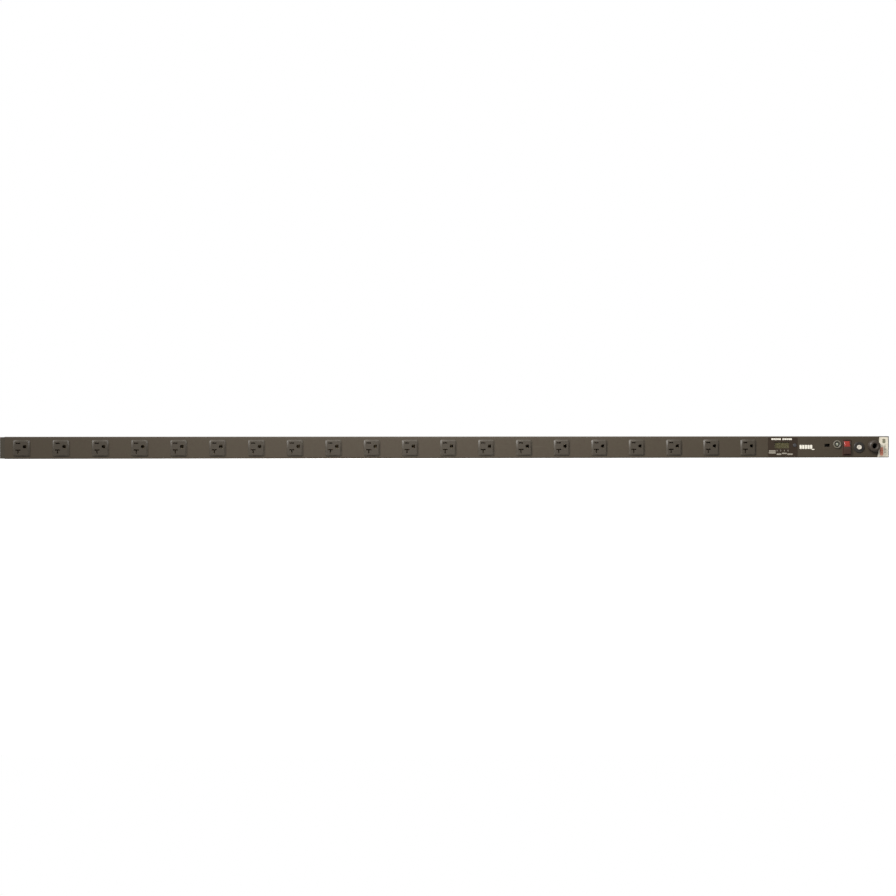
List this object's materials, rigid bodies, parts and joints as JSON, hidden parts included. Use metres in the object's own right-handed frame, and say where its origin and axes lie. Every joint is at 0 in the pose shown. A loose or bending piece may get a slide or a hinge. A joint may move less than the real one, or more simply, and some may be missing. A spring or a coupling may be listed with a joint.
{
  "type": "rack power strip",
  "caption": "Long steel-housed rack power strip with raised three-pin outlets, a meter, a lamp, a rocker switch, a breaker reset button and a cord gland.",
  "frame": {"origin": "middle of the back cover's outer face", "axes": "+X along the strip towards the control end, front faces -Y, +Z across the strip's width, towards the hot slots"},
  "size_m": [1.708, 0.0564, 0.0418],
  "materials": {
    "housing_coat": "satin, finely textured warm black powder coat on steel",
    "cap_plastic": "matte moulded end cap",
    "black_screw": "black-coated countersunk screw",
    "zinc_steel": "zinc-plated steel",
    "brass": "bright formed brass strip",
    "copper_bar": "bare copper bar",
    "support_plastic": "natural moulded insulator",
    "overlay_film": "semi-gloss black printed film",
    "clear_window": "clear polycarbonate",
    "lcd_glass": "olive display, unlit",
    "circuit_board": "green solder mask",
    "button_plastic": "moulded bluish dark grey",
    "transformer_case": "moulded blue case",
    "port_plastic": "black moulded socket",
    "gold_pin": "gold-flashed pin",
    "bezel_plastic": "semi-gloss grey ring",
    "lamp_lens": "frosted pale lens",
    "switch_plastic": "gloss black nylon",
    "red_lens": "gloss red lens",
    "tinned_brass": "tinned brass",
    "breaker_plastic": "black moulded phenolic",
    "white_plastic": "off-white moulded button",
    "gland_nylon": "black nylon",
    "seal_rubber": "black rubber",
    "terminal_plastic": "light grey moulded block",
    "black_insulation": "black insulated lead",
    "white_insulation": "pale insulated lead",
    "label_film": "cream film label, blank",
    "outlet_plastic": "dark grey moulded outlet"
  },
  "bodies": {
    "strip": {"front_channel": "housing_coat", "back_cover": "housing_coat", "end_cap_left": "cap_plastic", "end_cap_right": "cap_plastic", "housing_screws": "black_screw", "mounting_nuts": "zinc_steel", "hot_contacts": "brass", "neutral_contacts": "brass", "ground_contacts": "brass", "hot_bus_bar": "copper_bar", "neutral_bus_bar": "copper_bar", "ground_bus_bar": "copper_bar", "bus_supports": "support_plastic", "meter_overlay": "overlay_film", "meter_window": "clear_window", "lcd_panel": "lcd_glass", "meter_board": "circuit_board", "board_standoffs": "zinc_steel", "tact_switch": "button_plastic", "current_transformer": "transformer_case", "link_port": "port_plastic", "link_port_pins": "gold_pin", "indicator_bezel": "bezel_plastic", "indicator_lens": "lamp_lens", "switch_frame": "switch_plastic", "switch_pin": "zinc_steel", "spade_terminals": "tinned_brass", "breaker_body": "breaker_plastic", "gland_body": "gland_nylon", "gland_cap": "gland_nylon", "gland_seal": "seal_rubber", "gland_locknut": "gland_nylon", "terminal_block": "terminal_plastic", "hot_leads": "black_insulation", "return_leads": "white_insulation", "rating_label": "label_film", "outlet_01": "outlet_plastic", "outlet_02": "outlet_plastic", "outlet_03": "outlet_plastic", "outlet_04": "outlet_plastic", "outlet_05": "outlet_plastic", "outlet_06": "outlet_plastic", "outlet_07": "outlet_plastic", "outlet_08": "outlet_plastic", "outlet_09": "outlet_plastic", "outlet_10": "outlet_plastic", "outlet_11": "outlet_plastic", "outlet_12": "outlet_plastic", "outlet_13": "outlet_plastic", "outlet_14": "outlet_plastic", "outlet_15": "outlet_plastic", "outlet_16": "outlet_plastic", "outlet_17": "outlet_plastic", "outlet_18": "outlet_plastic", "outlet_19": "outlet_plastic", "outlet_20": "outlet_plastic"},
    "rocker": {"switch_rocker": "switch_plastic", "rocker_lens": "red_lens"},
    "reset": {"breaker_button": "white_plastic"},
    "select": {"select_button": "button_plastic"}
  },
  "joints": [
    {"name": "rocker_tilt", "type": "hinge", "parent": "strip", "child": "rocker", "pos_m": [0.7695, -0.043, -0.0011], "axis": [1, 0, 0], "range_deg": [0, 14]},
    {"name": "breaker_reset", "type": "slide", "parent": "strip", "child": "reset", "axis": [0, -1, 0], "range_m": [0, 0.0035]},
    {"name": "select_press", "type": "slide", "parent": "strip", "child": "select", "axis": [0, 1, 0], "range_m": [0, 0.0005], "stiffness_N_per_m": 2000}
  ]
}
